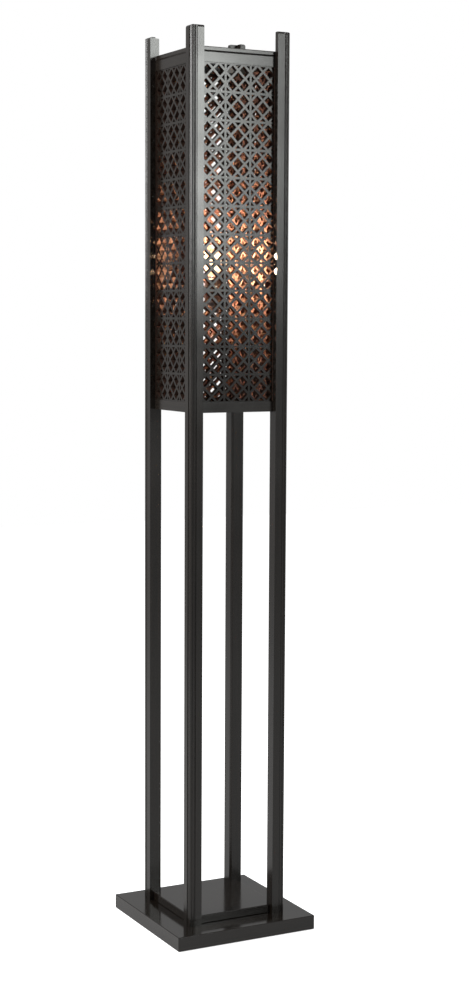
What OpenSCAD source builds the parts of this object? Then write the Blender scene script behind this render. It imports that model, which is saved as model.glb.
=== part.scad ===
// Lantern floor lamp: four reeded posts stand on a square plinth and carry a tall
// lantern of pierced lattice sides, with one screw-in bulb half way up it.
// Millimetres. +Z is up, the front is -Y, the origin is under the middle of the base.

/* [Base] */
// Side of the square plinth
plinth_side = 270; // [250:1:330]
// Thickness of the plinth
plinth_thick = 25.5; // [20:0.5:40]
// Width of the softened edges of the plinth and of the plate on it
edge_soft = 1; // [0.4:0.1:3]
// How far the raised plate's sides lie behind the outer faces of the posts
plate_setback = 8.5; // [6:0.5:14]
// Thickness of the raised plate
plate_thick = 15; // [10:0.5:25]
// Thickness of the foot pads
pad_thick = 2; // [1:0.5:5]
// Diameter of a foot pad
pad_d = 26; // [16:1:36]
// Distance of a foot pad's centre from the plinth's edges
pad_inset = 24; // [20:1:30]
// Thickness of the steel ballast plate let into the plinth's underside
ballast_thick = 10; // [4:0.5:14]
// How far the ballast plate's edges stay inside the inner faces of the posts
ballast_margin = 4; // [3:0.5:20]

/* [Posts] */
// Distance across the posts, from outer face to outer face
post_span = 188.4; // [176:0.2:220]
// Side of a post's square section
post_w = 23.5; // [20:0.5:28]
// Height of the post tops above the lantern
horn = 33; // [15:1:80]
// Radius of the three reeds at the outer corner of a post
reed_r = 2.3; // [1.6:0.1:2.6]
// Gap between two reeds
reed_gap = 0.2; // [0.1:0.1:0.6]
// Width of the groove between the reeds and the flat faces
reed_quirk = 1.6; // [0.8:0.2:3]
// Depth of the grooves beside and between the reeds
reed_groove = 1.2; // [0.4:0.1:1.5]
// Rounding of a post's inner edge
inner_round = 4; // [1:0.5:6]
// Rounding over the outer edges of a post's top
crown_r = 4; // [1:0.5:6]
// Thickness of the two legs left where the post is rebated for the lantern
leg = 10; // [8:0.5:12]

/* [Lantern] */
// Height of the lantern's underside above the plinth
lantern_lift = 901; // [600:1:1000]
// Lattice cells across one side
cells_across = 3; // [2:1:4]
// Lattice cells up one side
cells_up = 12; // [8:1:14]
// Height of one lattice cell
cell_h = 48; // [42:0.5:56]
// Width of the lattice bars
bar_w = 4; // [3:0.25:5]
// Half the length of the small diamonds that sit on the bars between crossings
diamond_half = 10.6; // [9:0.1:13]
// Thickness of the lattice
lattice_thick = 9; // [4:0.5:10]
// How far the lattice lies behind the outer face of its frame
lattice_setback = 2; // [1:0.25:4]
// How far the centre lines of a lattice's outermost bars lie behind the posts' edges
stile_lap = 1.5; // [0:0.25:2]
// Height of a bottom rail
bottom_rail_h = 17.5; // [14:0.5:30]
// Height of a top rail
top_rail_h = 18.5; // [14:0.5:30]
// Depth of the groove in a rail that takes the lattice's tongue
tongue = 6; // [4:0.5:8]
// Height of the capping strips on the top rails
cap_h = 7.5; // [5:0.5:15]
// Depth of a capping strip, from its outer face inwards
cap_depth = 15; // [13:0.5:24]
// Width of the small bevels that part a capping strip from its rail
cap_bevel = 1; // [0.4:0.1:2]

/* [Lamp holder] */
// Cross bar of the lattice, counted from the lowest, that hides the lamp bar
lamp_level = 4; // [2:1:7]
// Thickness of the steel lamp bar
lamp_bar_thick = 2; // [1.5:0.5:3]
// Width of the lamp bar's arms
arm_w = 14; // [10:0.5:18]
// Height of the turned-up ends of the lamp bar
tab_h = 16; // [12:0.5:24]
// Length along each wall of the corner blocks that the lamp bar is screwed to
block_leg = 14; // [12:0.5:20]
// Outer radius of the holder's threaded skirt
skirt_r = 19.5; // [18.5:0.1:22]
// Height of the holder's rim above the underside of the lamp bar
rim_rise = 21; // [17:0.5:30]
// Outer radius of the two shade rings
ring_r = 26; // [24:0.5:30]
// Height of a shade ring
ring_h = 6.5; // [5:0.5:8]
// Notches round a shade ring
ring_notches = 20; // [12:1:30]
// Radius of the hole through the cord gland
cord_r = 3.6; // [2.5:0.1:4]

/* [Bulb] */
// Radius of the bulb's screw cap
cap_r = 13.1; // [12.5:0.05:13.4]
// Radial clearance between the bulb's cap and the holder's screw shell
thread_fit = 0.08; // [0.03:0.01:0.1]
// Radius of the round bulb
bulb_r = 22.5; // [20:0.5:30]
// Height of the bulb's centre above the underside of the lamp bar
bulb_lift = 51; // [46:0.5:60]
// Thickness of the bulb's glass
glass_wall = 0.8; // [0.6:0.1:1.5]

/* [Fasteners] */
// Radius of the screws that hold the posts
post_screw_r = 3; // [2.5:0.25:4]
// Length of the screws that hold the posts
post_screw_len = 62; // [45:1:80]
// Radius of the small wood screws
wood_screw_r = 1.75; // [1.5:0.05:2]
// Length of the screws that hold the raised plate
plate_screw_len = 26; // [22:1:30]
// Length of the screws that hold the ballast plate
ballast_screw_len = 18; // [14:1:20]
// Length of the screws from the rails into the posts
rail_screw_len = 18; // [14:1:19]
// Length of the screws that hold the lamp bar
bar_screw_len = 30; // [20:1:32]
// Length of a corner brace's legs
brace_leg = 22; // [16:1:30]
// Thickness of a corner brace
brace_thick = 1.5; // [1:0.25:2.5]
// Width of a corner brace
brace_w = 12; // [8:0.5:13]
// Length of the screws through the corner braces
brace_screw_len = 10; // [6:1:12]

/* [Hidden] */

$fn = 96;
// Clearance between glued or screwed pieces, and of a screw in its hole
joint_gap = 0.1;
hole_gap = 0.05;
// Room for one cut to run past the face that it leaves
over = 1;

// Levels above the floor
z_plinth_top = pad_thick + plinth_thick;
z_plate_top = z_plinth_top + plate_thick;
z_lantern = z_plinth_top + lantern_lift;
z_lattice = z_lantern + bottom_rail_h;
z_top_rail = z_lattice + cells_up * cell_h;
z_capping = z_top_rail + top_rail_h;
z_roof = z_capping + cap_h;
z_post_top = z_roof + horn;
z_bar = z_lattice + lamp_level * cell_h;

// Plan sizes, measured from the lamp's axis
post_out = post_span / 2;
post_in = post_out - post_w;
post_mid = post_out - post_w / 2;
frame_out = post_out - leg;
rail_thick = post_w - leg;
lattice_out = frame_out - lattice_setback;
lattice_in = lattice_out - lattice_thick;
rail_in = frame_out - rail_thick;
plate_half = post_out - plate_setback;
ballast_half = post_in - ballast_margin;
pad_at = plinth_side / 2 - pad_inset;
plate_screw_at = post_in * 0.62;
ballast_screw_at = ballast_half - 3 * wood_screw_r;

// The lattice: cells fill the opening between the posts, centre line to centre line
lattice_edge = post_in + stile_lap;
cell_w = 2 * lattice_edge / cells_across;
diamond_rise = diamond_half * cell_h / cell_w;

// Reeds: one at the corner and one beside it on each face, up to the flat faces
reed_pitch = 2 * reed_r + reed_gap;
reed_zone = 2 * reed_r + reed_pitch + reed_quirk;

// The holder and the bulb, measured up from the underside of the lamp bar
skirt_foot = -18;
skirt_shoulder = -8.5;
skirt_bore = skirt_r - 4.2;
neck_r = skirt_r - 2.2;
lip_h = 2.5;
lip_r = cap_r + 0.65;
holder_foot = -27;
core_top = -8;
shell_r = cap_r + thread_fit;
shell_wall = 0.4;
contact_rise = 4;
contact_gap = 0.2;
gland_r = 5;
gland_foot = -38;
tip_foot = core_top + contact_rise + contact_gap;
tip_h = 1.4;
insulator_top = tip_foot + 6.4;
insulator_r = cap_r - 1.9;
cap_foot = tip_foot + 5.2;
cap_top = rim_rise + 5;
mount_foot = rim_rise - 9;
mount_top = bulb_lift - 13;
lead_reach = 8;
lead_r = 0.4;
filament_r = 0.6;
neck_glass_r = cap_r - 0.6;

module lacquer() { color([0.10, 0.08, 0.07]) children(); }
module raw_steel() { color([0.62, 0.62, 0.60]) children(); }
module bakelite() { color([0.06, 0.06, 0.06]) children(); }
module brass() { color([0.80, 0.62, 0.30]) children(); }
module china() { color([0.90, 0.89, 0.85]) children(); }

// ---- fasteners ----

// Countersunk wood screw along +Z: its flat head is at z = 0 and its point at z = len
module wood_screw(r, len) {
    head = 1.9 * r;
    difference() {
        union() {
            cylinder(h = head - r, r1 = head, r2 = r);
            translate([0, 0, head - r]) cylinder(h = len - 2 * r - (head - r), r = r);
            translate([0, 0, len - 2 * r]) cylinder(h = 2 * r, r1 = r, r2 = 0.25 * r);
        }
        for (a = [0, 90]) rotate([0, 0, a])
            translate([-0.9 * r, -0.22 * r, -over]) cube([1.8 * r, 0.44 * r, over + 0.6 * r]);
    }
}

// Hole that such a screw fills, countersunk at z = 0 and open below it by sink
module screw_hole(r, len, sink = over) {
    head = 1.9 * r;
    translate([0, 0, -sink]) cylinder(h = sink, r = head + hole_gap);
    cylinder(h = head - r, r1 = head + hole_gap, r2 = r + hole_gap);
    cylinder(h = len + hole_gap, r = r + hole_gap);
}

// Pan-head screw along +Z: the head's underside is at z = 0
module pan_screw(r, len) {
    difference() {
        union() {
            translate([0, 0, -r]) cylinder(h = r, r1 = 1.5 * r, r2 = 1.9 * r);
            cylinder(h = len - 2 * r, r = r);
            translate([0, 0, len - 2 * r]) cylinder(h = 2 * r, r1 = r, r2 = 0.25 * r);
        }
        translate([-1.9 * r, -0.2 * r, -r - over]) cube([3.8 * r, 0.4 * r, over + 0.5 * r]);
    }
}

// One copy at each of the four corners of a square of half side at
module at_corners(at) {
    for (x = [-at, at], y = [-at, at]) translate([x, y, 0]) children();
}

// ---- base ----

// Square slab with softened edges all round, standing on z = 0
module soft_slab(half, thick, soft) {
    module side_view() {
        polygon([
            [-half + soft, 0], [half - soft, 0], [half, soft], [half, thick - soft],
            [half - soft, thick], [-half + soft, thick], [-half, thick - soft], [-half, soft]
        ]);
    }
    intersection() {
        translate([0, half, 0]) rotate([90, 0, 0]) linear_extrude(2 * half) side_view();
        translate([-half, 0, 0]) rotate([90, 0, 90]) linear_extrude(2 * half) side_view();
        linear_extrude(thick) polygon([
            [-half + soft, -half], [half - soft, -half], [half, -half + soft],
            [half, half - soft], [half - soft, half], [-half + soft, half],
            [-half, half - soft], [-half, -half + soft]
        ]);
    }
}

// Depth of the recess that hides a post screw's head in the plinth
post_head_sink = 5;

module base_plinth() {
    lacquer() difference() {
        translate([0, 0, pad_thick]) soft_slab(plinth_side / 2, plinth_thick, edge_soft);
        translate([0, 0, pad_thick - over])
            linear_extrude(ballast_thick + over) square(2 * (ballast_half + joint_gap), center = true);
        at_corners(post_mid) translate([0, 0, pad_thick + post_head_sink])
            screw_hole(post_screw_r, post_screw_len, post_head_sink + over);
        at_corners(plate_screw_at) translate([0, 0, pad_thick + ballast_thick])
            cylinder(h = plinth_thick, r = wood_screw_r + hole_gap);
        at_corners(ballast_screw_at) translate([0, 0, pad_thick])
            screw_hole(wood_screw_r, ballast_screw_len);
    }
}

module raised_plate() {
    lacquer() difference() {
        translate([0, 0, z_plinth_top]) soft_slab(plate_half, plate_thick, edge_soft);
        for (a = [0 : 90 : 270]) rotate([0, 0, a])
            translate([post_in - joint_gap, post_in - joint_gap, z_plinth_top - over])
                linear_extrude(plate_thick + 2 * over)
                    round_cornered(post_w, inner_round + joint_gap);
        at_corners(plate_screw_at) translate([0, 0, pad_thick])
            screw_hole(wood_screw_r, ballast_thick + plate_screw_len);
    }
}

module ballast_plate() {
    raw_steel() difference() {
        translate([0, 0, pad_thick])
            linear_extrude(ballast_thick) square(2 * ballast_half, center = true);
        at_corners(ballast_screw_at) translate([0, 0, pad_thick])
            screw_hole(wood_screw_r, ballast_screw_len);
        at_corners(plate_screw_at) translate([0, 0, pad_thick - over])
            cylinder(h = ballast_thick + 2 * over, r = 2.2 * wood_screw_r);
    }
}

module foot_pads() {
    color([0.20, 0.20, 0.20]) at_corners(pad_at) cylinder(h = pad_thick, d = pad_d);
}

module post_screws() {
    raw_steel() at_corners(post_mid) translate([0, 0, pad_thick + post_head_sink])
        wood_screw(post_screw_r, post_screw_len);
}

module plate_screws() {
    raw_steel() at_corners(plate_screw_at)
        translate([0, 0, pad_thick + ballast_thick]) pan_screw(wood_screw_r, plate_screw_len);
}

module ballast_screws() {
    raw_steel() at_corners(ballast_screw_at)
        translate([0, 0, pad_thick]) wood_screw(wood_screw_r, ballast_screw_len);
}

// ---- posts ----

// Square with one corner at the origin, and that corner rounded
module round_cornered(side, r) {
    translate([r, 0]) square([side - r, side]);
    translate([0, r]) square([side, side - r]);
    translate([r, r]) circle(r = r);
}

// Section of a post: its outer corner, with the reeds, is at the origin
module post_section() {
    difference() {
        translate([post_w, post_w]) rotate(180) round_cornered(post_w, inner_round);
        translate([-over, -over]) square(reed_zone + over);
    }
    translate([reed_groove, reed_groove]) square(reed_zone);
    for (at = [[0, 0], [reed_pitch, 0], [0, reed_pitch]])
        translate(at + [reed_r, reed_r]) circle(r = reed_r);
}

// Side view of a post with the edges of its top rounded over, the outer one more
module post_profile() {
    tall = z_post_top - z_plinth_top;
    inner_r = crown_r / 3;
    square([post_w, tall - crown_r]);
    translate([crown_r, 0]) square([post_w - crown_r - inner_r, tall]);
    translate([crown_r, tall - crown_r]) circle(r = crown_r);
    translate([0, 0]) square([post_w, tall - inner_r - crown_r]);
    translate([post_w / 2, 0]) square([post_w / 2, tall - inner_r]);
    translate([post_w - inner_r, tall - inner_r]) circle(r = inner_r);
}

module post() {
    tall = z_post_top - z_plinth_top;
    lacquer() difference() {
        translate([-post_out, -post_out, z_plinth_top]) difference() {
            intersection() {
                linear_extrude(tall) post_section();
                translate([0, post_w, 0]) rotate([90, 0, 0]) linear_extrude(post_w) post_profile();
                rotate([90, 0, 90]) linear_extrude(post_w) post_profile();
            }
            translate([leg, leg, lantern_lift])
                cube([post_w, post_w, tall - lantern_lift + over]);
        }
        translate([-post_mid, -post_mid, pad_thick + post_head_sink])
            screw_hole(post_screw_r, post_screw_len);
    }
}

// A corner of the lamp, numbered round from the front left
module corner_post(corner) {
    difference() {
        rotate([0, 0, 90 * corner]) post();
        rail_screw_places() screw_hole(wood_screw_r, rail_screw_len, 0);
        bar_screw_places() cylinder(h = bar_screw_len + hole_gap, r = wood_screw_r + hole_gap);
    }
}

module post_front_left() { corner_post(0); }
module post_front_right() { corner_post(1); }
module post_back_right() { corner_post(2); }
module post_back_left() { corner_post(3); }

// ---- lattice sides ----

// A convex outline moved inwards by d, its points running counter-clockwise
function inset(p, d) = [for (i = [0 : len(p) - 1]) let(
    n = len(p), a = p[(i + n - 1) % n], b = p[i], c = p[(i + 1) % n],
    u = (b - a) / norm(b - a), v = (c - b) / norm(c - b),
    m = [-u[1], u[0]], k = [-v[1], v[0]]) b + (m + k) * d / (1 + m * k)];

// Twice the signed area of an outline, to tell which way round it runs
function turn(p) = len(p) < 3 ? 0 : let(a = p[1] - p[0], b = p[2] - p[1]) a[0] * b[1] - a[1] * b[0];
function counter_clockwise(p) = turn(p) > 0 ? p : [for (i = [len(p) - 1 : -1 : 0]) p[i]];

// The thirteen openings of one cell, as the fields between the centre lines of its
// bars: a diamond in the middle, and in each quarter a corner triangle, a tilted
// rectangle and half of the triangles that the diamonds on the bars are made of
function cell_fields() = let(
    hx = cell_w / 2, hz = cell_h / 2, dx = diamond_half, dz = diamond_rise,
    ex = hx - dx, ez = hz - dz) concat(
    [[[ex, 0], [0, ez], [-ex, 0], [0, -ez]]],
    [for (sx = [-1, 1], sz = [-1, 1])
        [[sx * hx, sz * hz], [sx * dx, sz * hz], [sx * hx, sz * dz]]],
    [for (sx = [-1, 1], sz = [-1, 1])
        [[sx * dx, sz * hz], [sx * hx, sz * dz], [sx * ex, 0], [0, sz * ez]]],
    [for (s = [-1, 1]) [[-dx, s * hz], [dx, s * hz], [0, s * ez]]],
    [for (s = [-1, 1]) [[s * hx, -dz], [s * hx, dz], [s * ex, 0]]]);

function cell_openings() = [for (f = cell_fields()) inset(counter_clockwise(f), bar_w / 2)];

// All the openings of one side, from the lowest cell on the left
function side_openings() = [
    for (i = [0 : cells_across - 1], j = [0 : cells_up - 1], f = cell_openings())
        [for (q = f) q + [(i + 0.5) * cell_w - lattice_edge, (j + 0.5) * cell_h + z_lattice]]];

// A lattice side in front view: half is its half width between the rails, and
// tongue_half that of the tongues above and below
module lattice_face(half, tongue_half) {
    low = z_lattice + joint_gap;
    high = z_top_rail - joint_gap;
    reach = tongue - joint_gap;
    difference() {
        polygon([
            [-tongue_half, low - reach], [tongue_half, low - reach], [tongue_half, low],
            [half, low], [half, high], [tongue_half, high], [tongue_half, high + reach],
            [-tongue_half, high + reach], [-tongue_half, high], [-half, high],
            [-half, low], [-tongue_half, low]
        ]);
        for (opening = side_openings()) polygon(opening);
    }
}

// A lattice side at the front, with the thicker stiles that lie in the posts' rebates
module lattice_side(half, tongue_half) {
    stile_in = lattice_edge - bar_w / 2;
    color([0.12, 0.09, 0.07]) difference() {
        union() {
            translate([0, -lattice_in, 0]) rotate([90, 0, 0])
                linear_extrude(lattice_thick) lattice_face(half, tongue_half);
            for (s = [0, 1]) mirror([s, 0, 0])
                translate([stile_in, -frame_out, z_lattice + joint_gap])
                    cube([half - stile_in, lattice_setback, cells_up * cell_h - 2 * joint_gap]);
        }
        children();
    }
}

// The front and back sides fill the posts' rebates, and the others butt between them
module lattice_front() { wide_lattice(0); }
module lattice_back() { wide_lattice(180); }
module lattice_right() { narrow_lattice(90); }
module lattice_left() { narrow_lattice(270); }

module wide_lattice(turned) {
    rotate([0, 0, turned]) lattice_side(frame_out - joint_gap, frame_out - 5 * joint_gap)
        rotate([0, 0, -turned]) bar_screw_places()
            cylinder(h = bar_screw_len + hole_gap, r = wood_screw_r + hole_gap);
}

module narrow_lattice(turned) {
    rotate([0, 0, turned]) lattice_side(lattice_in - joint_gap, rail_in - joint_gap)
        rotate([0, 0, -turned]) bar_screw_places()
            cylinder(h = bar_screw_len + hole_gap, r = wood_screw_r + hole_gap);
}

// ---- rails and capping ----

// A rail at the front, from y = -frame_out inwards, with a groove along one edge
module rail(half, foot, tall, groove_foot) {
    lacquer() difference() {
        translate([-half, -frame_out, foot]) cube([2 * half, rail_thick, tall]);
        translate([-half - over, -lattice_out - joint_gap, groove_foot])
            cube([2 * (half + over), lattice_thick + 2 * joint_gap, tongue + over]);
        children();
    }
}

module bottom_rail(half) {
    rail(half, z_lantern, bottom_rail_h, z_lattice - tongue) children();
}

// The top rail's upper outer edge is bevelled, to part it from the capping
module top_rail(half) {
    rail(half, z_top_rail, top_rail_h, z_top_rail - over) {
        children();
        translate([-half - over, -frame_out, z_capping]) rotate([45, 0, 0])
            cube([2 * (half + over), cap_bevel * sqrt(2), cap_bevel * sqrt(2)], center = false);
        translate([-half - over, -frame_out, z_capping]) rotate([-135, 0, 0])
            cube([2 * (half + over), cap_bevel * sqrt(2), cap_bevel * sqrt(2)], center = false);
    }
}

module long_rail_cuts() { rail_screw_places() screw_hole(wood_screw_r, rail_screw_len, 0); }
module brace_cuts() { brace_screw_places() screw_hole(wood_screw_r, brace_screw_len, 0); }

// The front and back rails run into the posts' rebates
module wide_bottom_rail(turned) {
    rotate([0, 0, turned]) bottom_rail(frame_out - joint_gap)
        rotate([0, 0, -turned]) { long_rail_cuts(); brace_cuts(); }
}
module wide_top_rail(turned) {
    rotate([0, 0, turned]) top_rail(frame_out - joint_gap)
        rotate([0, 0, -turned]) { long_rail_cuts(); brace_cuts(); }
}
module narrow_bottom_rail(turned) {
    rotate([0, 0, turned]) bottom_rail(rail_in - joint_gap) rotate([0, 0, -turned]) brace_cuts();
}
module narrow_top_rail(turned) {
    rotate([0, 0, turned]) top_rail(rail_in - joint_gap) rotate([0, 0, -turned]) brace_cuts();
}

module bottom_rail_front() { wide_bottom_rail(0); }
module bottom_rail_right() { narrow_bottom_rail(90); }
module bottom_rail_back() { wide_bottom_rail(180); }
module bottom_rail_left() { narrow_bottom_rail(270); }
module top_rail_front() { wide_top_rail(0); }
module top_rail_right() { narrow_top_rail(90); }
module top_rail_back() { wide_top_rail(180); }
module top_rail_left() { narrow_top_rail(270); }

// A capping strip at the front, its lower outer edge bevelled
module capping(half) {
    inner = -frame_out + cap_depth;
    lacquer() translate([-half, 0, z_capping]) rotate([90, 0, 90]) linear_extrude(2 * half)
        polygon([
            [-frame_out + cap_bevel, 0], [inner, 0], [inner, cap_h],
            [-frame_out + cap_bevel, cap_h], [-frame_out, cap_h - cap_bevel],
            [-frame_out, cap_bevel]
        ]);
}

module capping_front() { capping(frame_out - joint_gap); }
module capping_back() { rotate([0, 0, 180]) capping(frame_out - joint_gap); }
module capping_right() { rotate([0, 0, 90]) capping(frame_out - cap_depth - joint_gap); }
module capping_left() { rotate([0, 0, 270]) capping(frame_out - cap_depth - joint_gap); }

// Middles of the bottom and the top rails
rail_mids = [z_lantern + (bottom_rail_h - tongue) / 2, z_top_rail + (top_rail_h + tongue) / 2];

// Places of the screws that run from the long rails' inner faces into the posts
module rail_screw_places() {
    at = frame_out - rail_thick / 2;
    for (a = [0, 180], x = [-at, at], z = rail_mids) rotate([0, 0, a])
        translate([x, -rail_in, z]) rotate([90, 0, 0]) children();
}

module rail_screws() { raw_steel() rail_screw_places() wood_screw(wood_screw_r, rail_screw_len); }

// Places of the screws through the corner braces, one along each wall of each corner
module brace_screw_places() {
    back = rail_in - brace_leg * 0.62;
    face = rail_in - brace_thick;
    for (a = [0 : 90 : 270], z = rail_mids) rotate([0, 0, a]) {
        translate([back, -face, z]) rotate([90, 0, 0]) children();
        translate([-back, -face, z]) rotate([90, 0, 0]) children();
    }
}

module corner_braces() {
    raw_steel() difference() {
        for (a = [0 : 90 : 270], z = rail_mids) rotate([0, 0, a])
            translate([-rail_in, -rail_in, z - brace_w / 2]) linear_extrude(brace_w) difference() {
                square(brace_leg);
                translate([brace_thick, brace_thick]) square(brace_leg);
            }
        brace_cuts();
    }
}

module brace_screws() { raw_steel() brace_screw_places() wood_screw(wood_screw_r, brace_screw_len); }

// ---- lamp bar ----

// Distance from the axis to the sloping face of a corner block
block_face = (2 * lattice_in - block_leg) / sqrt(2);
bar_screw_z = z_bar + lamp_bar_thick + (tab_h - lamp_bar_thick) / 2;

// Places of the two screws, each pointing out along the diagonal
module bar_screw_places() {
    for (a = [-45, 135]) rotate([0, 0, a])
        translate([block_face - lamp_bar_thick, 0, bar_screw_z]) rotate([0, 90, 0]) children();
}

module lamp_bar() {
    disc_r = ring_r + 2;
    color([0.09, 0.09, 0.09]) difference() {
        rotate([0, 0, -45]) union() {
            translate([0, 0, z_bar]) cylinder(h = lamp_bar_thick, r = disc_r);
            translate([-block_face, -arm_w / 2, z_bar]) cube([2 * block_face, arm_w, lamp_bar_thick]);
            for (s = [0, 1]) mirror([s, 0, 0])
                translate([block_face - lamp_bar_thick, -arm_w / 2, z_bar])
                    cube([lamp_bar_thick, arm_w, tab_h]);
        }
        translate([0, 0, z_bar - over])
            cylinder(h = lamp_bar_thick + 2 * over, r = skirt_r + joint_gap);
        bar_screw_places() cylinder(h = 2 * lamp_bar_thick, r = wood_screw_r + hole_gap);
    }
}

module bar_blocks() {
    lacquer() difference() {
        for (a = [0, 180]) rotate([0, 0, a])
            translate([lattice_in, -lattice_in, z_bar - over]) linear_extrude(tab_h + 2 * over)
                polygon([[0, 0], [0, block_leg], [-block_leg, 0]]);
        bar_screw_places() cylinder(h = bar_screw_len, r = wood_screw_r + hole_gap);
    }
}

module bar_screws() { raw_steel() bar_screw_places() pan_screw(wood_screw_r, bar_screw_len); }

// ---- lamp holder ----

// A turned piece on the axis: radius and height pairs, measured from the lamp bar
module turned(outline) {
    translate([0, 0, z_bar]) rotate_extrude() polygon(outline);
}

module holder_cap() {
    bakelite() turned([
        [gland_r + hole_gap, holder_foot], [9, holder_foot], [skirt_r, holder_foot + 7],
        [skirt_r, skirt_shoulder - joint_gap], [neck_r + hole_gap, skirt_shoulder - joint_gap],
        [neck_r + hole_gap, skirt_foot], [skirt_bore - 1.3, skirt_foot],
        [skirt_bore - 1.3, skirt_foot - 2.5], [8, holder_foot + 2.2],
        [gland_r + hole_gap, holder_foot + 2.2]
    ]);
}

module holder_skirt() {
    bakelite() turned([
        [skirt_bore, skirt_foot], [neck_r, skirt_foot], [neck_r, skirt_shoulder],
        [skirt_r, skirt_shoulder], [skirt_r, rim_rise - 1], [skirt_r - 1, rim_rise],
        [lip_r, rim_rise], [lip_r, rim_rise - lip_h], [skirt_bore, rim_rise - lip_h]
    ]);
}

// Shade ring with finger notches, its foot at the given height
module shade_ring(foot) {
    bakelite() difference() {
        turned([
            [skirt_r + hole_gap, foot], [ring_r - 1, foot], [ring_r, foot + 1],
            [ring_r, foot + ring_h - 1], [ring_r - 1, foot + ring_h],
            [skirt_r + hole_gap, foot + ring_h]
        ]);
        for (i = [1 : ring_notches]) rotate([0, 0, 360 * i / ring_notches])
            translate([ring_r + 0.6, 0, z_bar + foot - over])
                cylinder(h = ring_h + 2 * over, r = 1.6);
    }
}

module shade_ring_lower() { shade_ring(-ring_h); }
module shade_ring_upper() { shade_ring(lamp_bar_thick); }

// Places of the two terminal screws, pointing up into the core from below
module terminal_places() {
    for (s = [-1, 1]) translate([s * 9, 0, z_bar + skirt_foot]) children();
}

module holder_core() {
    china() difference() {
        turned([[0, skirt_foot], [skirt_bore - joint_gap, skirt_foot],
            [skirt_bore - joint_gap, core_top], [0, core_top]]);
        terminal_places() translate([0, 0, -over]) cylinder(h = 6 + over + hole_gap, r = 1.5 + hole_gap);
    }
}

module screw_shell() {
    out = shell_r + shell_wall;
    brass() turned([
        [8, core_top], [out, core_top], [out, rim_rise - lip_h - joint_gap],
        [shell_r, rim_rise - lip_h - joint_gap], [shell_r, core_top + shell_wall],
        [8, core_top + shell_wall]
    ]);
}

// Bowed spring strip that the bulb's tip presses on
module centre_contact() {
    bow = 8.5;
    strip = 0.5;
    brass() translate([0, 2.5, z_bar + core_top]) rotate([90, 0, 0]) linear_extrude(5)
        intersection() {
            translate([0, contact_rise - bow]) difference() {
                circle(r = bow);
                circle(r = bow - strip);
            }
            translate([-bow, 0]) square([2 * bow, bow]);
        }
}

module terminal_screws() {
    brass() terminal_places() union() {
        translate([0, 0, -1.8]) cylinder(h = 1.8, r = 2.6);
        cylinder(h = 6, r = 1.5);
    }
}

module cord_gland() {
    gland_top = holder_foot + 6;
    color([0.08, 0.08, 0.08]) difference() {
        union() {
            turned([[0, gland_foot], [5.5, gland_foot], [7, gland_foot + 5], [0, gland_foot + 5]]);
            translate([0, 0, z_bar + gland_foot + 5])
                cylinder(h = holder_foot - gland_foot - 5, r = 8, $fn = 6);
            turned([[0, holder_foot], [gland_r, holder_foot], [gland_r, gland_top],
                [0, gland_top]]);
        }
        translate([0, 0, z_bar + gland_foot - over])
            cylinder(h = gland_top - gland_foot + 2 * over, r = cord_r);
    }
}

module gland_nut() {
    raw_steel() translate([0, 0, z_bar + holder_foot + 2.2]) difference() {
        cylinder(h = 3, r = 7.5, $fn = 6);
        translate([0, 0, -over]) cylinder(h = 3 + 2 * over, r = gland_r + hole_gap);
    }
}

// ---- bulb ----

module bulb_cap() {
    raw_steel() turned([
        [insulator_r + hole_gap, cap_foot], [cap_r - 0.9, cap_foot], [cap_r, cap_foot + 1],
        [cap_r, rim_rise + 1], [cap_r + 0.9, rim_rise + 3], [cap_r + 0.9, cap_top],
        [cap_r + 0.5, cap_top], [cap_r + 0.5, rim_rise + 3.2], [cap_r - 0.3, rim_rise + 1.2],
        [cap_r - 0.3, cap_foot + 1.2], [cap_r - 1, cap_foot + 0.6],
        [insulator_r + hole_gap, cap_foot + 0.6]
    ]);
}

module bulb_insulator() {
    color([0.10, 0.10, 0.12]) turned([
        [0, tip_foot + tip_h], [5.2, tip_foot + tip_h], [insulator_r, cap_foot - 0.4],
        [insulator_r, insulator_top], [0, insulator_top]
    ]);
}

module bulb_tip() {
    raw_steel() turned([[0, tip_foot], [3.6, tip_foot], [4.6, tip_foot + 0.7],
        [4.6, tip_foot + tip_h], [0, tip_foot + tip_h]]);
}

// Solid of a round bulb: a ball, and a neck cone that meets it as a tangent
module bulb_solid(ball_r, neck_r, foot) {
    drop = bulb_lift - cap_top;
    reach = norm([neck_r, drop]);
    lean = acos(ball_r / reach) - atan2(drop, neck_r);
    translate([0, 0, z_bar + bulb_lift]) sphere(r = ball_r);
    translate([0, 0, z_bar + cap_top])
        cylinder(h = drop + ball_r * sin(lean), r1 = neck_r, r2 = ball_r * cos(lean));
    translate([0, 0, z_bar + foot]) cylinder(h = cap_top - foot, r = neck_r);
}

module bulb_glass() {
    color([1.0, 0.93, 0.78, 0.6]) difference() {
        bulb_solid(bulb_r, neck_glass_r, mount_foot);
        bulb_solid(bulb_r - glass_wall, neck_glass_r - glass_wall, mount_foot - over);
    }
}

// Place of one lead wire, leaning outwards from inside the glass mount
module lead(side, r) {
    rise = bulb_lift - mount_top + 6;
    lean = atan2(lead_reach - 1.5, rise);
    translate([side * 1.5, 0, z_bar + mount_top - 6]) rotate([0, side * lean, 0])
        cylinder(h = rise / cos(lean), r = r);
}

module bulb_mount() {
    flange = neck_glass_r - glass_wall - joint_gap;
    color([0.85, 0.88, 0.88, 0.6]) difference() {
        turned([[0, mount_foot], [flange, mount_foot], [flange, mount_foot + 1.2],
            [5, mount_foot + 3], [4, mount_top], [0, mount_top]]);
        for (s = [-1, 1]) lead(s, lead_r + hole_gap);
    }
}

module bulb_leads() { raw_steel() for (s = [-1, 1]) lead(s, lead_r); }

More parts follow.
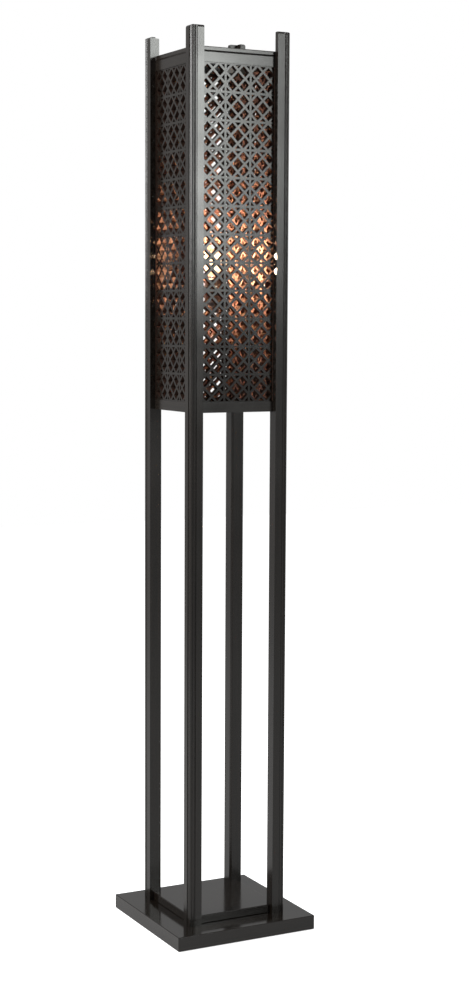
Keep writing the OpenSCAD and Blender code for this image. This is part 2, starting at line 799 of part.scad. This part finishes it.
module bulb_filament() {
    half = lead_reach - lead_r - hole_gap - 0.3;
    color([1.0, 0.75, 0.35]) translate([-half, 0, z_bar + bulb_lift - filament_r])
        rotate([0, 90, 0]) cylinder(h = 2 * half, r = filament_r);
}

base_plinth();
raised_plate();
ballast_plate();
foot_pads();
post_screws();
plate_screws();
ballast_screws();
post_front_left();
post_front_right();
post_back_right();
post_back_left();
lattice_front();
lattice_right();
lattice_back();
lattice_left();
bottom_rail_front();
bottom_rail_right();
bottom_rail_back();
bottom_rail_left();
top_rail_front();
top_rail_right();
top_rail_back();
top_rail_left();
capping_front();
capping_right();
capping_back();
capping_left();
rail_screws();
corner_braces();
brace_screws();
lamp_bar();
bar_blocks();
bar_screws();
holder_cap();
holder_skirt();
shade_ring_lower();
shade_ring_upper();
holder_core();
screw_shell();
centre_contact();
terminal_screws();
cord_gland();
gland_nut();
bulb_cap();
bulb_glass();
bulb_insulator();
bulb_tip();
bulb_mount();
bulb_leads();
bulb_filament();
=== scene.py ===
import math
import bpy
import numpy as np
from mathutils import Matrix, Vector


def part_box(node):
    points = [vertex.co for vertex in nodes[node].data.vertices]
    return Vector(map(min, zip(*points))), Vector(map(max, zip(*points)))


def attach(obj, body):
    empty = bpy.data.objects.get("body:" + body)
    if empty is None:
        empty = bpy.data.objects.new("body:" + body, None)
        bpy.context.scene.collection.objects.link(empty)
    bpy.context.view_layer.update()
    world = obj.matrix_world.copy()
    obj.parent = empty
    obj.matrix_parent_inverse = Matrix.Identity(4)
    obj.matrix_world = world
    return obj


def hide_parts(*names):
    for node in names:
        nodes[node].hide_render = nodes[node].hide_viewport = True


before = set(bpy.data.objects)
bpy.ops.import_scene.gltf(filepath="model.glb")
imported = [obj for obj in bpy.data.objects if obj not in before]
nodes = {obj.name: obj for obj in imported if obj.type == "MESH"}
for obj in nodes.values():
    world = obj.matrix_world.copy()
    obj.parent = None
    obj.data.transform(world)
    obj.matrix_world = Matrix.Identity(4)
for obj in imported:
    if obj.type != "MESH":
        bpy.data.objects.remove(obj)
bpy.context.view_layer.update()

# ---- Camera ----
# The photograph was taken from the lamp's front left, level with the lower half
# of the lantern, through a long lens; the camera leans very slightly.
CAMERA_AT = (-1.4618, -2.8781, 1.0905)
CAMERA_YAW, CAMERA_PITCH, CAMERA_ROLL = (math.radians(a) for a in (27.55, -5.466, 0.286))
PICTURE_HEIGHT, FOCAL_PIXELS = 985, 1819
SENSOR_WIDTH = 36.0

look = np.array([math.sin(CAMERA_YAW) * math.cos(CAMERA_PITCH),
                 math.cos(CAMERA_YAW) * math.cos(CAMERA_PITCH),
                 math.sin(CAMERA_PITCH)])
level = np.array([math.cos(CAMERA_YAW), -math.sin(CAMERA_YAW), 0.0])
upward = np.cross(level, look)
camera_right = level * math.cos(CAMERA_ROLL) + upward * math.sin(CAMERA_ROLL)
camera_up = upward * math.cos(CAMERA_ROLL) - level * math.sin(CAMERA_ROLL)
lens = bpy.data.cameras.new("photo_camera")
lens.sensor_width = SENSOR_WIDTH
lens.lens = FOCAL_PIXELS * SENSOR_WIDTH / PICTURE_HEIGHT
camera = bpy.data.objects.new("photo_camera", lens)
turned = np.column_stack([camera_right, camera_up, -look])
camera.matrix_world = Matrix.Translation(CAMERA_AT) @ Matrix(turned.tolist()).to_4x4()
scene = bpy.context.scene
scene.collection.objects.link(camera)
scene.camera = camera

# ---- Room: floor and soft light ----
# A white floor runs out into a white room; both look brighter than they light or
# mirror. A tall soft light stands in front to the right and a broad one to the left,
# both above the camera's height, and a wide one hangs overhead.
scene.view_settings.view_transform = "Standard"


def new_material(name):
    """An empty node material; returns it with its node tree and output node."""
    material = bpy.data.materials.new(name)
    material.use_nodes = True
    tree = material.node_tree
    tree.nodes.clear()
    output = tree.nodes.new("ShaderNodeOutputMaterial")
    return material, tree, output


def add_node(tree, kind, **values):
    """A new node with the given values on its inputs, named with _ for each space."""
    made = tree.nodes.new(kind)
    for name, value in values.items():
        made.inputs[name.replace("_", " ")].default_value = value
    return made


def add_maths(tree, operation, other=None):
    """A new node for one sum; other is its second number, unless that is linked."""
    made = tree.nodes.new("ShaderNodeMath")
    made.operation = operation
    if other is not None:
        made.inputs[1].default_value = other
    return made


def add_ramp(tree, low, deep, high, pale):
    """A new ramp of colour, deep up to low and pale from high on."""
    made = tree.nodes.new("ShaderNodeValToRGB")
    for stop, position, colour in zip(made.color_ramp.elements, (low, high), (deep, pale)):
        stop.position = position
        stop.color = (*colour, 1.0)
    return made


def shown_level(tree, plain, seen, mirrored):
    """A strength: plain for scattered light, seen for rays from the camera or through
    glass, mirrored for rays that come off a glossy surface."""
    path = add_node(tree, "ShaderNodeLightPath")
    strength = None
    for kind, value in (("Is Glossy Ray", mirrored), ("Is Transmission Ray", seen),
                        ("Is Camera Ray", seen)):
        step = add_node(tree, "ShaderNodeMapRange", To_Min=plain, To_Max=value)
        tree.links.new(path.outputs[kind], step.inputs["Value"])
        if strength is not None:
            tree.links.new(strength, step.inputs["To Min"])
        strength = step.outputs["Result"]
    return strength


def soft_light(name, place, aim, width, height, power, colour=(1.0, 1.0, 1.0)):
    """A rectangular light at place, facing aim."""
    data = bpy.data.lights.new(name, "AREA")
    data.shape, data.size, data.size_y = "RECTANGLE", width, height
    data.energy, data.color = power, colour
    light = bpy.data.objects.new(name, data)
    light.location = place
    towards = np.array(aim, float) - np.array(place, float)
    flat = math.hypot(towards[0], towards[1])
    light.rotation_euler = (math.atan2(flat, -towards[2]), 0.0,
                            math.atan2(towards[1], towards[0]) - math.pi / 2)
    scene.collection.objects.link(light)


world = bpy.data.worlds.new("white_room")
world.use_nodes = True
scene.world = world
room = world.node_tree
room.nodes.clear()
room_out = add_node(room, "ShaderNodeOutputWorld")
room_light = add_node(room, "ShaderNodeBackground", Color=(1.0, 1.0, 1.0, 1.0))
room.links.new(shown_level(room, plain=0.20, seen=1.0, mirrored=0.46),
               room_light.inputs["Strength"])
room.links.new(room_light.outputs["Background"], room_out.inputs["Surface"])

FLOOR_REACH = 6.0
floor_mesh = bpy.data.meshes.new("studio_floor")
floor_mesh.from_pydata([(-FLOOR_REACH, -FLOOR_REACH, 0.0), (FLOOR_REACH, -FLOOR_REACH, 0.0),
                        (FLOOR_REACH, FLOOR_REACH, 0.0), (-FLOOR_REACH, FLOOR_REACH, 0.0)],
                       [], [(0, 1, 2, 3)])
floor = bpy.data.objects.new("studio_floor", floor_mesh)
scene.collection.objects.link(floor)
floor_white, floor_tree, floor_out = new_material("studio_white")
paper = add_node(floor_tree, "ShaderNodeBsdfDiffuse")
paper_glow = add_node(floor_tree, "ShaderNodeEmission")
paper_sum = add_node(floor_tree, "ShaderNodeAddShader")
floor_tree.links.new(shown_level(floor_tree, plain=0.86, seen=0.86, mirrored=0.42),
                     paper.inputs["Color"])
floor_tree.links.new(shown_level(floor_tree, plain=0.0, seen=0.92, mirrored=0.28),
                     paper_glow.inputs["Strength"])
floor_tree.links.new(paper.outputs[0], paper_sum.inputs[0])
floor_tree.links.new(paper_glow.outputs[0], paper_sum.inputs[1])
floor_tree.links.new(paper_sum.outputs[0], floor_out.inputs["Surface"])
floor_mesh.materials.append(floor_white)

soft_light("strip_softbox", place=(1.25, -3.0, 1.86), aim=(0.0, 0.0, 1.3),
           width=0.50, height=1.25, power=31.0, colour=(0.97, 1.0, 0.965))
soft_light("side_softbox", place=(-2.6, -0.1, 1.97), aim=(0.0, 0.0, 1.3),
           width=1.30, height=1.5, power=130.0)
soft_light("overhead_softbox", place=(-0.6, -0.4, 3.6), aim=(0.0, 0.0, 0.8),
           width=2.4, height=2.4, power=20.0)

# ---- Plinth and raised plate ----
# Two square boards of veneered panel, lipped and sprayed with dark brown lacquer.
# The plate lies on the plinth between the posts and is screwed up from below.
def lacquer(tree, grain_axis, roughness, grain_depth=0.04, specular=0.5):
    """Dark lacquer over wood whose grain runs along grain_axis: noise drawn out along
    that axis colours the wood between two browns, the same streaks raise a faint grain,
    and a finer even noise gives the sprayed film its slight unevenness. Returns the
    surface and the streaks."""
    place = add_node(tree, "ShaderNodeTexCoord")
    stretch = add_node(tree, "ShaderNodeMapping",
                       Scale=[6.0 if axis == grain_axis else 260.0 for axis in "XYZ"])
    streaks = add_node(tree, "ShaderNodeTexNoise", Scale=1.0, Detail=6.0, Roughness=0.62)
    tone = add_ramp(tree, 0.32, (0.005, 0.004, 0.003), 0.72, (0.011, 0.008, 0.006))
    film = add_node(tree, "ShaderNodeTexNoise", Scale=420.0, Detail=2.0)
    patches = add_node(tree, "ShaderNodeTexNoise", Scale=14.0, Detail=3.0)
    sheen = add_node(tree, "ShaderNodeMapRange", From_Min=0.3, From_Max=0.7,
                     To_Min=roughness * 0.85, To_Max=roughness * 1.15)
    grain_bump = add_node(tree, "ShaderNodeBump", Strength=grain_depth, Distance=0.0004)
    film_bump = add_node(tree, "ShaderNodeBump", Strength=0.05, Distance=0.0002)
    shader = add_node(tree, "ShaderNodeBsdfPrincipled", Specular_IOR_Level=specular)
    link = tree.links.new
    link(place.outputs["Object"], stretch.inputs["Vector"])
    link(stretch.outputs["Vector"], streaks.inputs["Vector"])
    link(place.outputs["Object"], film.inputs["Vector"])
    link(place.outputs["Object"], patches.inputs["Vector"])
    link(streaks.outputs["Fac"], tone.inputs["Fac"])
    link(tone.outputs["Color"], shader.inputs["Base Color"])
    link(patches.outputs["Fac"], sheen.inputs["Value"])
    link(sheen.outputs["Result"], shader.inputs["Roughness"])
    link(streaks.outputs["Fac"], grain_bump.inputs["Height"])
    link(film.outputs["Fac"], film_bump.inputs["Height"])
    link(grain_bump.outputs["Normal"], film_bump.inputs["Normal"])
    link(film_bump.outputs["Normal"], shader.inputs["Normal"])
    return shader.outputs["BSDF"], streaks.outputs["Fac"]


def lacquered_wood(name, grain_axis, roughness):
    """Material for a piece that is lacquered all over."""
    material, tree, output = new_material(name)
    surface, _ = lacquer(tree, grain_axis, roughness)
    tree.links.new(surface, output.inputs["Surface"])
    return material


def finish_node(name, material):
    """Puts one material on a piece from the CAD model."""
    piece = nodes[name]
    piece.data.materials.clear()
    piece.data.materials.append(material)
    return piece


def ease_edges(piece, width):
    """Rubs down a piece's sharp edges: joins its loose facets, clears the flat ones
    and rounds what is left."""
    weld = piece.modifiers.new("join_facets", "WELD")
    weld.merge_threshold = 0.00001
    flat = piece.modifiers.new("clear_flats", "DECIMATE")
    flat.decimate_type = "DISSOLVE"
    flat.angle_limit = math.radians(1.0)
    ease = piece.modifiers.new("ease_edges", "BEVEL")
    ease.width = width
    ease.segments = 2
    ease.limit_method = "ANGLE"
    ease.angle_limit = math.radians(35)
    ease.harden_normals = True


board_lacquer = lacquered_wood("board_lacquer", "X", roughness=0.14)
for board in ("base_plinth", "raised_plate"):
    ease_edges(finish_node(board, board_lacquer), 0.0006)

# ---- Posts ----
# Four square posts of solid wood, each with three fine reeds run down its rounded
# outer corner, lacquered dark brown and screwed up through the plinth.
post_lacquer = lacquered_wood("post_lacquer", "Z", roughness=0.20)
for post in ("post_front_left", "post_front_right", "post_back_right", "post_back_left"):
    finish_node(post, post_lacquer)

# ---- Lattice sides ----
# Four sheets of board cut through in a grid of squares and diagonals and let into the
# posts and rails. Their outer faces are lacquered like the posts; the cut walls took
# only stain, and the inner faces, turned to the bulb, are bare red-brown wood.
def bare_wood(tree, grain, deep, pale):
    """Unlacquered wood: a scattering surface whose colour goes from deep to pale with
    the streaks of grain."""
    tone = add_ramp(tree, 0.32, deep, 0.72, pale)
    wood = add_node(tree, "ShaderNodeBsdfDiffuse")
    tree.links.new(grain, tone.inputs["Fac"])
    tree.links.new(tone.outputs["Color"], wood.inputs["Color"])
    return wood.outputs["BSDF"]


def pierced_board(name, face_axis):
    """Board lacquered on its outer face. How far the surface turns away from face_axis
    brings in the stained walls; where its normal points back along that axis to the
    lamp's middle it is bare wood."""
    material, tree, output = new_material(name)
    outer_face, grain = lacquer(tree, "Z", roughness=0.20, grain_depth=0.02, specular=0.42)
    stained_wall = bare_wood(tree, grain, (0.022, 0.013, 0.010), (0.044, 0.026, 0.020))
    inner_face = bare_wood(tree, grain, (0.080, 0.040, 0.030), (0.150, 0.080, 0.062))
    place = add_node(tree, "ShaderNodeTexCoord")
    geometry = add_node(tree, "ShaderNodeNewGeometry")
    position = add_node(tree, "ShaderNodeSeparateXYZ")
    normal = add_node(tree, "ShaderNodeSeparateXYZ")
    facing = add_maths(tree, "ABSOLUTE")
    is_wall = add_node(tree, "ShaderNodeMapRange", From_Min=0.80, From_Max=0.30)
    outward = add_maths(tree, "MULTIPLY")
    is_inner = add_node(tree, "ShaderNodeMapRange", From_Min=-0.02, From_Max=-0.06)
    walled = add_node(tree, "ShaderNodeMixShader")
    lined = add_node(tree, "ShaderNodeMixShader")
    link = tree.links.new
    link(place.outputs["Object"], position.inputs["Vector"])
    link(geometry.outputs["Normal"], normal.inputs["Vector"])
    link(normal.outputs[face_axis], facing.inputs[0])
    link(facing.outputs[0], is_wall.inputs["Value"])
    link(position.outputs[face_axis], outward.inputs[0])
    link(normal.outputs[face_axis], outward.inputs[1])
    link(outward.outputs[0], is_inner.inputs["Value"])
    link(is_wall.outputs["Result"], walled.inputs["Fac"])
    link(outer_face, walled.inputs[1])
    link(stained_wall, walled.inputs[2])
    link(is_inner.outputs["Result"], lined.inputs["Fac"])
    link(walled.outputs["Shader"], lined.inputs[1])
    link(inner_face, lined.inputs[2])
    link(lined.outputs["Shader"], output.inputs["Surface"])
    return material


lattice_lacquer = {"X": pierced_board("lattice_lacquer_deep", "X"),
                   "Y": pierced_board("lattice_lacquer_across", "Y")}
for side, axis in (("front", "Y"), ("right", "X"), ("back", "Y"), ("left", "X")):
    ease_edges(finish_node("lattice_" + side, lattice_lacquer[axis]), 0.0007)

# ---- Rails and capping ----
# Square-edged rails above and below the lattice, with a capping strip on the upper
# ones that is parted from them by a fine bevelled groove.
rail_lacquer = {"X": lacquered_wood("rail_lacquer_across", "X", roughness=0.22),
                "Y": lacquered_wood("rail_lacquer_deep", "Y", roughness=0.22)}
for kind in ("bottom_rail_", "top_rail_", "capping_"):
    for side, axis in (("front", "X"), ("back", "X"), ("right", "Y"), ("left", "Y")):
        ease_edges(finish_node(kind + side, rail_lacquer[axis]), 0.0004)

# ---- Hidden steel ----
# Zinc-plated wood screws, corner braces and the ballast plate under the base.
def plain_metal(name, colour, roughness, streak_axis="X"):
    """Bare or plated metal with fine drawn streaks in its roughness and tone."""
    material, tree, output = new_material(name)
    place = add_node(tree, "ShaderNodeTexCoord")
    stretch = add_node(tree, "ShaderNodeMapping",
                       Scale=[40.0 if axis == streak_axis else 900.0 for axis in "XYZ"])
    streaks = add_node(tree, "ShaderNodeTexNoise", Scale=1.0, Detail=4.0)
    tone = add_ramp(tree, 0.3, [c * 0.8 for c in colour], 0.7, colour)
    sheen = add_node(tree, "ShaderNodeMapRange", To_Min=roughness - 0.08,
                     To_Max=roughness + 0.08)
    shader = add_node(tree, "ShaderNodeBsdfPrincipled", Metallic=1.0)
    link = tree.links.new
    link(place.outputs["Object"], stretch.inputs["Vector"])
    link(stretch.outputs["Vector"], streaks.inputs["Vector"])
    link(streaks.outputs["Fac"], tone.inputs["Fac"])
    link(streaks.outputs["Fac"], sheen.inputs["Value"])
    link(tone.outputs["Color"], shader.inputs["Base Color"])
    link(sheen.outputs["Result"], shader.inputs["Roughness"])
    link(shader.outputs["BSDF"], output.inputs["Surface"])
    return material


zinc = plain_metal("zinc_plate", (0.52, 0.52, 0.50), 0.38)
for fixing in ("ballast_plate", "post_screws", "plate_screws", "ballast_screws", "rail_screws",
               "corner_braces", "brace_screws", "bar_screws", "gland_nut"):
    finish_node(fixing, zinc)

# ---- Foot pads ----
# Four round pads of dark rubber, glued under the plinth near its corners.
def mottled(name, deep, pale, roughness, scale):
    """Moulded or painted stuff: an even noise moves its colour between deep and pale
    and gives it a fine skin."""
    material, tree, output = new_material(name)
    place = add_node(tree, "ShaderNodeTexCoord")
    specks = add_node(tree, "ShaderNodeTexNoise", Scale=scale, Detail=4.0)
    tone = add_ramp(tree, 0.35, deep, 0.65, pale)
    skin = add_node(tree, "ShaderNodeBump", Strength=0.15, Distance=0.0002)
    shader = add_node(tree, "ShaderNodeBsdfPrincipled", Roughness=roughness)
    link = tree.links.new
    link(place.outputs["Object"], specks.inputs["Vector"])
    link(specks.outputs["Fac"], tone.inputs["Fac"])
    link(specks.outputs["Fac"], skin.inputs["Height"])
    link(tone.outputs["Color"], shader.inputs["Base Color"])
    link(skin.outputs["Normal"], shader.inputs["Normal"])
    link(shader.outputs["BSDF"], output.inputs["Surface"])
    return material


pad_rubber = mottled("pad_rubber", (0.018, 0.018, 0.018), (0.030, 0.030, 0.029),
                     roughness=0.8, scale=500.0)
finish_node("foot_pads", pad_rubber)

# ---- Lamp bar and its blocks ----
# A flat steel bar, painted black, lies across the lantern from corner to corner at
# the level of a lattice bar; its turned-up ends are screwed to two wooden blocks.
bar_paint = mottled("bar_paint", (0.010, 0.010, 0.010), (0.018, 0.018, 0.018),
                    roughness=0.4, scale=700.0)
finish_node("lamp_bar", bar_paint)
finish_node("bar_blocks", lattice_lacquer["X"])

# ---- Lamp holder ----
# A black moulded screw holder on the lamp bar, clamped between two notched rings
# that run on its outer thread, with a white core and brass parts inside.
BAR_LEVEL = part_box("lamp_bar")[0][2]
bakelite = mottled("black_moulding", (0.008, 0.008, 0.008), (0.014, 0.013, 0.012),
                   roughness=0.33, scale=900.0)
glazed_core = mottled("glazed_core", (0.70, 0.68, 0.62), (0.80, 0.78, 0.72),
                      roughness=0.25, scale=300.0)
brass = plain_metal("brass", (0.72, 0.50, 0.20), 0.28, "Z")
for moulding in ("holder_cap", "shade_ring_lower", "shade_ring_upper", "cord_gland"):
    finish_node(moulding, bakelite)
finish_node("holder_core", glazed_core)
for contact in ("centre_contact", "terminal_screws"):
    finish_node(contact, brass)


def grid_piece(name, points, material, body, capped=False):
    """A smooth closed piece from a grid of points, rows by columns by 3, in metres.
    Columns run round the piece and join up; rows join up too, or, if it is capped, a
    flat face closes the first row and another the last."""
    rows, columns = points.shape[:2]
    row, column = np.meshgrid(np.arange(rows - 1 if capped else rows), np.arange(columns),
                              indexing="ij")
    below, above = row * columns, (row + 1) % rows * columns
    beside = (column + 1) % columns
    quads = np.stack([below + column, below + beside, above + beside, above + column], -1)
    faces = quads.reshape(-1, 4).tolist()
    if capped:
        faces += [list(range(columns))[::-1],
                  list(range((rows - 1) * columns, rows * columns))]
    mesh = bpy.data.meshes.new(name)
    mesh.from_pydata(points.reshape(-1, 3).tolist(), [], faces)
    mesh.polygons.foreach_set("use_smooth", np.ones(len(mesh.polygons), bool))
    mesh.materials.append(material)
    piece = bpy.data.objects.new(name, mesh)
    scene.collection.objects.link(piece)
    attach(piece, body)
    return piece


def threaded_round(outline, crest, pitch, low, high, columns=96):
    """Grid of a piece turned on the lamp's axis from outline, a list of (radius,
    height, thread share) in millimetres above the lamp bar. The thread adds a wave of
    height crest that climbs one pitch a turn, right-handed, fading out at low and high."""
    outline = np.array(outline, float)
    angle = np.linspace(0.0, 2 * np.pi, columns, endpoint=False)[None, :]
    radius, height, share = (outline[:, i][:, None] for i in range(3))
    fade = np.clip((height - low) / pitch, 0, 1) * np.clip((high - height) / pitch, 0, 1)
    wave = np.cos(angle - 2 * np.pi * height / pitch)
    r = (radius + crest * share * fade * wave) / 1000
    z = BAR_LEVEL + height / 1000 + 0 * angle
    return np.stack([r * np.cos(angle), r * np.sin(angle), z], -1)


def threaded_wall(radius, start, end, steps):
    """Part of an outline: a straight wall from start to end that carries the thread."""
    return [(radius, height, 1) for height in np.linspace(start, end, steps)]


# The skirt's outer wall carries the coarse thread of the shade rings.
SKIRT_PITCH = 2.5
skirt_outline = ([(15.3, -18.0, 0), (17.3, -18.0, 0), (17.3, -8.6, 0), (18.6, -8.5, 0)]
                 + threaded_wall(19.15, -8.0, 20.0, 141)
                 + [(18.4, 20.9, 0), (17.9, 21.0, 0), (13.75, 21.0, 0), (13.75, 18.5, 0),
                    (15.3, 18.5, 0)])
skirt_points = threaded_round(skirt_outline, crest=0.3, pitch=SKIRT_PITCH, low=-7.5, high=20.0)
skirt = grid_piece("holder_skirt_threaded", skirt_points, bakelite, "lamp")
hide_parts("holder_skirt")

# The brass shell is pressed to the same round thread as the bulb's cap.
CAP_PITCH = 3.629
shell_outline = ([(8.0, -8.0, 0), (13.0, -8.0, 0)] + threaded_wall(13.15, -7.0, 18.3, 141)
                 + threaded_wall(12.8, 18.3, -6.6, 141) + [(12.4, -7.6, 0), (8.0, -7.6, 0)])
shell_points = threaded_round(shell_outline, crest=0.42, pitch=CAP_PITCH, low=-7.0, high=24.0)
shell = grid_piece("screw_shell_threaded", shell_points, brass, "lamp")
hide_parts("screw_shell")

# ---- Bulb ----
# A round bulb of frosted glass with a rolled aluminium screw cap, lit: its warm light
# fills the lantern and shows through the lattice.
cap_metal = plain_metal("cap_aluminium", (0.78, 0.77, 0.74), 0.25, "Z")
for metal_part in ("bulb_tip", "bulb_leads"):
    finish_node(metal_part, cap_metal)
cap_glass = mottled("cap_glass", (0.012, 0.012, 0.016), (0.03, 0.03, 0.04),
                    roughness=0.15, scale=300.0)
finish_node("bulb_insulator", cap_glass)

cap_outline = ([(11.3, 1.4, 0), (12.0, 1.4, 0), (12.3, 1.9, 0)]
               + threaded_wall(12.2, 2.4, 22.0, 111)
               + [(13.1, 23.2, 0), (13.9, 24.0, 0), (13.95, 25.8, 0), (13.7, 26.0, 0),
                  (13.3, 25.9, 0), (13.2, 24.4, 0), (12.6, 23.4, 0)]
               + threaded_wall(11.9, 22.0, 2.6, 111) + [(11.3, 2.0, 0)])
cap_points = threaded_round(cap_outline, crest=0.45, pitch=CAP_PITCH, low=1.0, high=23.0)
cap = grid_piece("bulb_cap_rolled", cap_points, cap_metal, "bulb")
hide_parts("bulb_cap")


def glow_by_height(tree, place, strength, middle):
    """Strength of a glow that is full within 9 mm of the height middle and fades out at
    20.5 mm. The camera is shown a milder one, bright cream at most."""
    position = add_node(tree, "ShaderNodeSeparateXYZ")
    off_middle = add_maths(tree, "SUBTRACT", middle)
    distance = add_maths(tree, "ABSOLUTE")
    glow = add_node(tree, "ShaderNodeMapRange", From_Min=0.0205, From_Max=0.009,
                    To_Min=0.001, To_Max=1.0)
    glow.interpolation_type = "SMOOTHSTEP"
    sent_out = add_maths(tree, "MULTIPLY", strength)
    seen = add_node(tree, "ShaderNodeMapRange", To_Min=0.85, To_Max=3.0)
    shown = add_node(tree, "ShaderNodeMix")
    path = add_node(tree, "ShaderNodeLightPath")
    link = tree.links.new
    link(place.outputs["Object"], position.inputs["Vector"])
    link(position.outputs["Z"], off_middle.inputs[0])
    link(off_middle.outputs[0], distance.inputs[0])
    link(distance.outputs[0], glow.inputs["Value"])
    link(glow.outputs["Result"], seen.inputs["Value"])
    link(glow.outputs["Result"], sent_out.inputs[0])
    link(path.outputs["Is Camera Ray"], shown.inputs["Factor"])
    link(sent_out.outputs[0], shown.inputs["A"])
    link(seen.outputs["Result"], shown.inputs["B"])
    return shown.outputs["Result"]


def lit_glass(name, colour, strength, show_through=0.0, middle=None):
    """Glass with light in it: a faintly mottled glow over a smooth glossy shell, of one
    strength all over or, with a height middle in metres, brightest round that height."""
    material, tree, output = new_material(name)
    place = add_node(tree, "ShaderNodeTexCoord")
    cloud = add_node(tree, "ShaderNodeTexNoise", Scale=60.0)
    tone = add_ramp(tree, 0.0, [c * 0.85 for c in colour], 1.0, colour)
    shader = add_node(tree, "ShaderNodeBsdfPrincipled", Roughness=0.12,
                      Emission_Strength=strength, Transmission_Weight=show_through)
    link = tree.links.new
    link(place.outputs["Object"], cloud.inputs["Vector"])
    link(cloud.outputs["Fac"], tone.inputs["Fac"])
    link(tone.outputs["Color"], shader.inputs["Base Color"])
    link(tone.outputs["Color"], shader.inputs["Emission Color"])
    if middle is not None:
        link(glow_by_height(tree, place, strength, middle), shader.inputs["Emission Strength"])
    link(shader.outputs["BSDF"], output.inputs["Surface"])
    return material


# The bulb's sizes in millimetres, heights above the lamp bar.
BALL_UP, BALL_R, NECK_R, NECK_UP, NECK_FOOT, GLASS = 51.0, 22.5, 12.5, 26.0, 12.0, 0.8


def blown_outline(arc_steps=49):
    """Outline of the glass, up its outside and down its inside: a straight neck, a cone
    that leaves the neck's top as a tangent to the ball, and the ball's arc up to its
    pole. The inside is the same arc and neck, smaller by the thickness of the glass."""
    reach = math.hypot(NECK_R, BALL_UP - NECK_UP)
    touch = math.acos(BALL_R / reach) - math.atan2(BALL_UP - NECK_UP, NECK_R)
    swing = np.linspace(touch, math.pi / 2, arc_steps)
    outside, inside = ([(r * math.cos(a), BALL_UP + r * math.sin(a), 0) for a in swing]
                       for r in (BALL_R, BALL_R - GLASS))
    return ([(NECK_R, NECK_FOOT, 0), (NECK_R, NECK_UP, 0)] + outside + inside[::-1]
            + [(NECK_R - GLASS, NECK_UP, 0), (NECK_R - GLASS, NECK_FOOT, 0)])


lit_opal = lit_glass("lit_opal", (1.0, 0.71, 0.46), strength=780.0,
                     middle=BAR_LEVEL + BALL_UP / 1000)
glass_points = threaded_round(blown_outline(), crest=0.0, pitch=1.0, low=0.0, high=1.0)
glass = grid_piece("bulb_glass_blown", glass_points, lit_opal, "bulb")
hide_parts("bulb_glass")
finish_node("bulb_mount", lit_glass("mount_glass", (0.95, 0.93, 0.88), 0.2, show_through=0.8))


def wire_coil(half_length, coil_r, wire_r, turns):
    """Grid of one coil of wire, in metres: its middle line runs along X through the
    ball's centre while it winds round that axis at coil_r, and each row is a hexagon
    of wire_r round the line, spread along X and away from the axis."""
    along = np.linspace(-1.0, 1.0, turns * 16)
    wind = np.pi * turns * along
    core = np.stack([half_length * along, coil_r * np.cos(wind),
                     BALL_UP + coil_r * np.sin(wind)], -1)
    outwards = np.stack([0 * along, np.cos(wind), np.sin(wind)], -1)
    sideways = np.array([1.0, 0.0, 0.0])
    ring = np.linspace(0.0, 2 * np.pi, 6, endpoint=False)
    wire = (core[:, None] + wire_r * (np.cos(ring)[None, :, None] * outwards[:, None]
                                      + np.sin(ring)[None, :, None] * sideways))
    return wire[:, ::-1] / 1000 + np.array([0.0, 0.0, BAR_LEVEL])


# The filament is one fine coil of wire held between the two leads.
hot_wire = lit_glass("hot_wire", (1.0, 0.55, 0.15), strength=60.0)
coil_points = wire_coil(half_length=7.25, coil_r=0.5, wire_r=0.09, turns=36)
filament = grid_piece("filament_coil", coil_points, hot_wire, "bulb", capped=True)
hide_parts("bulb_filament")
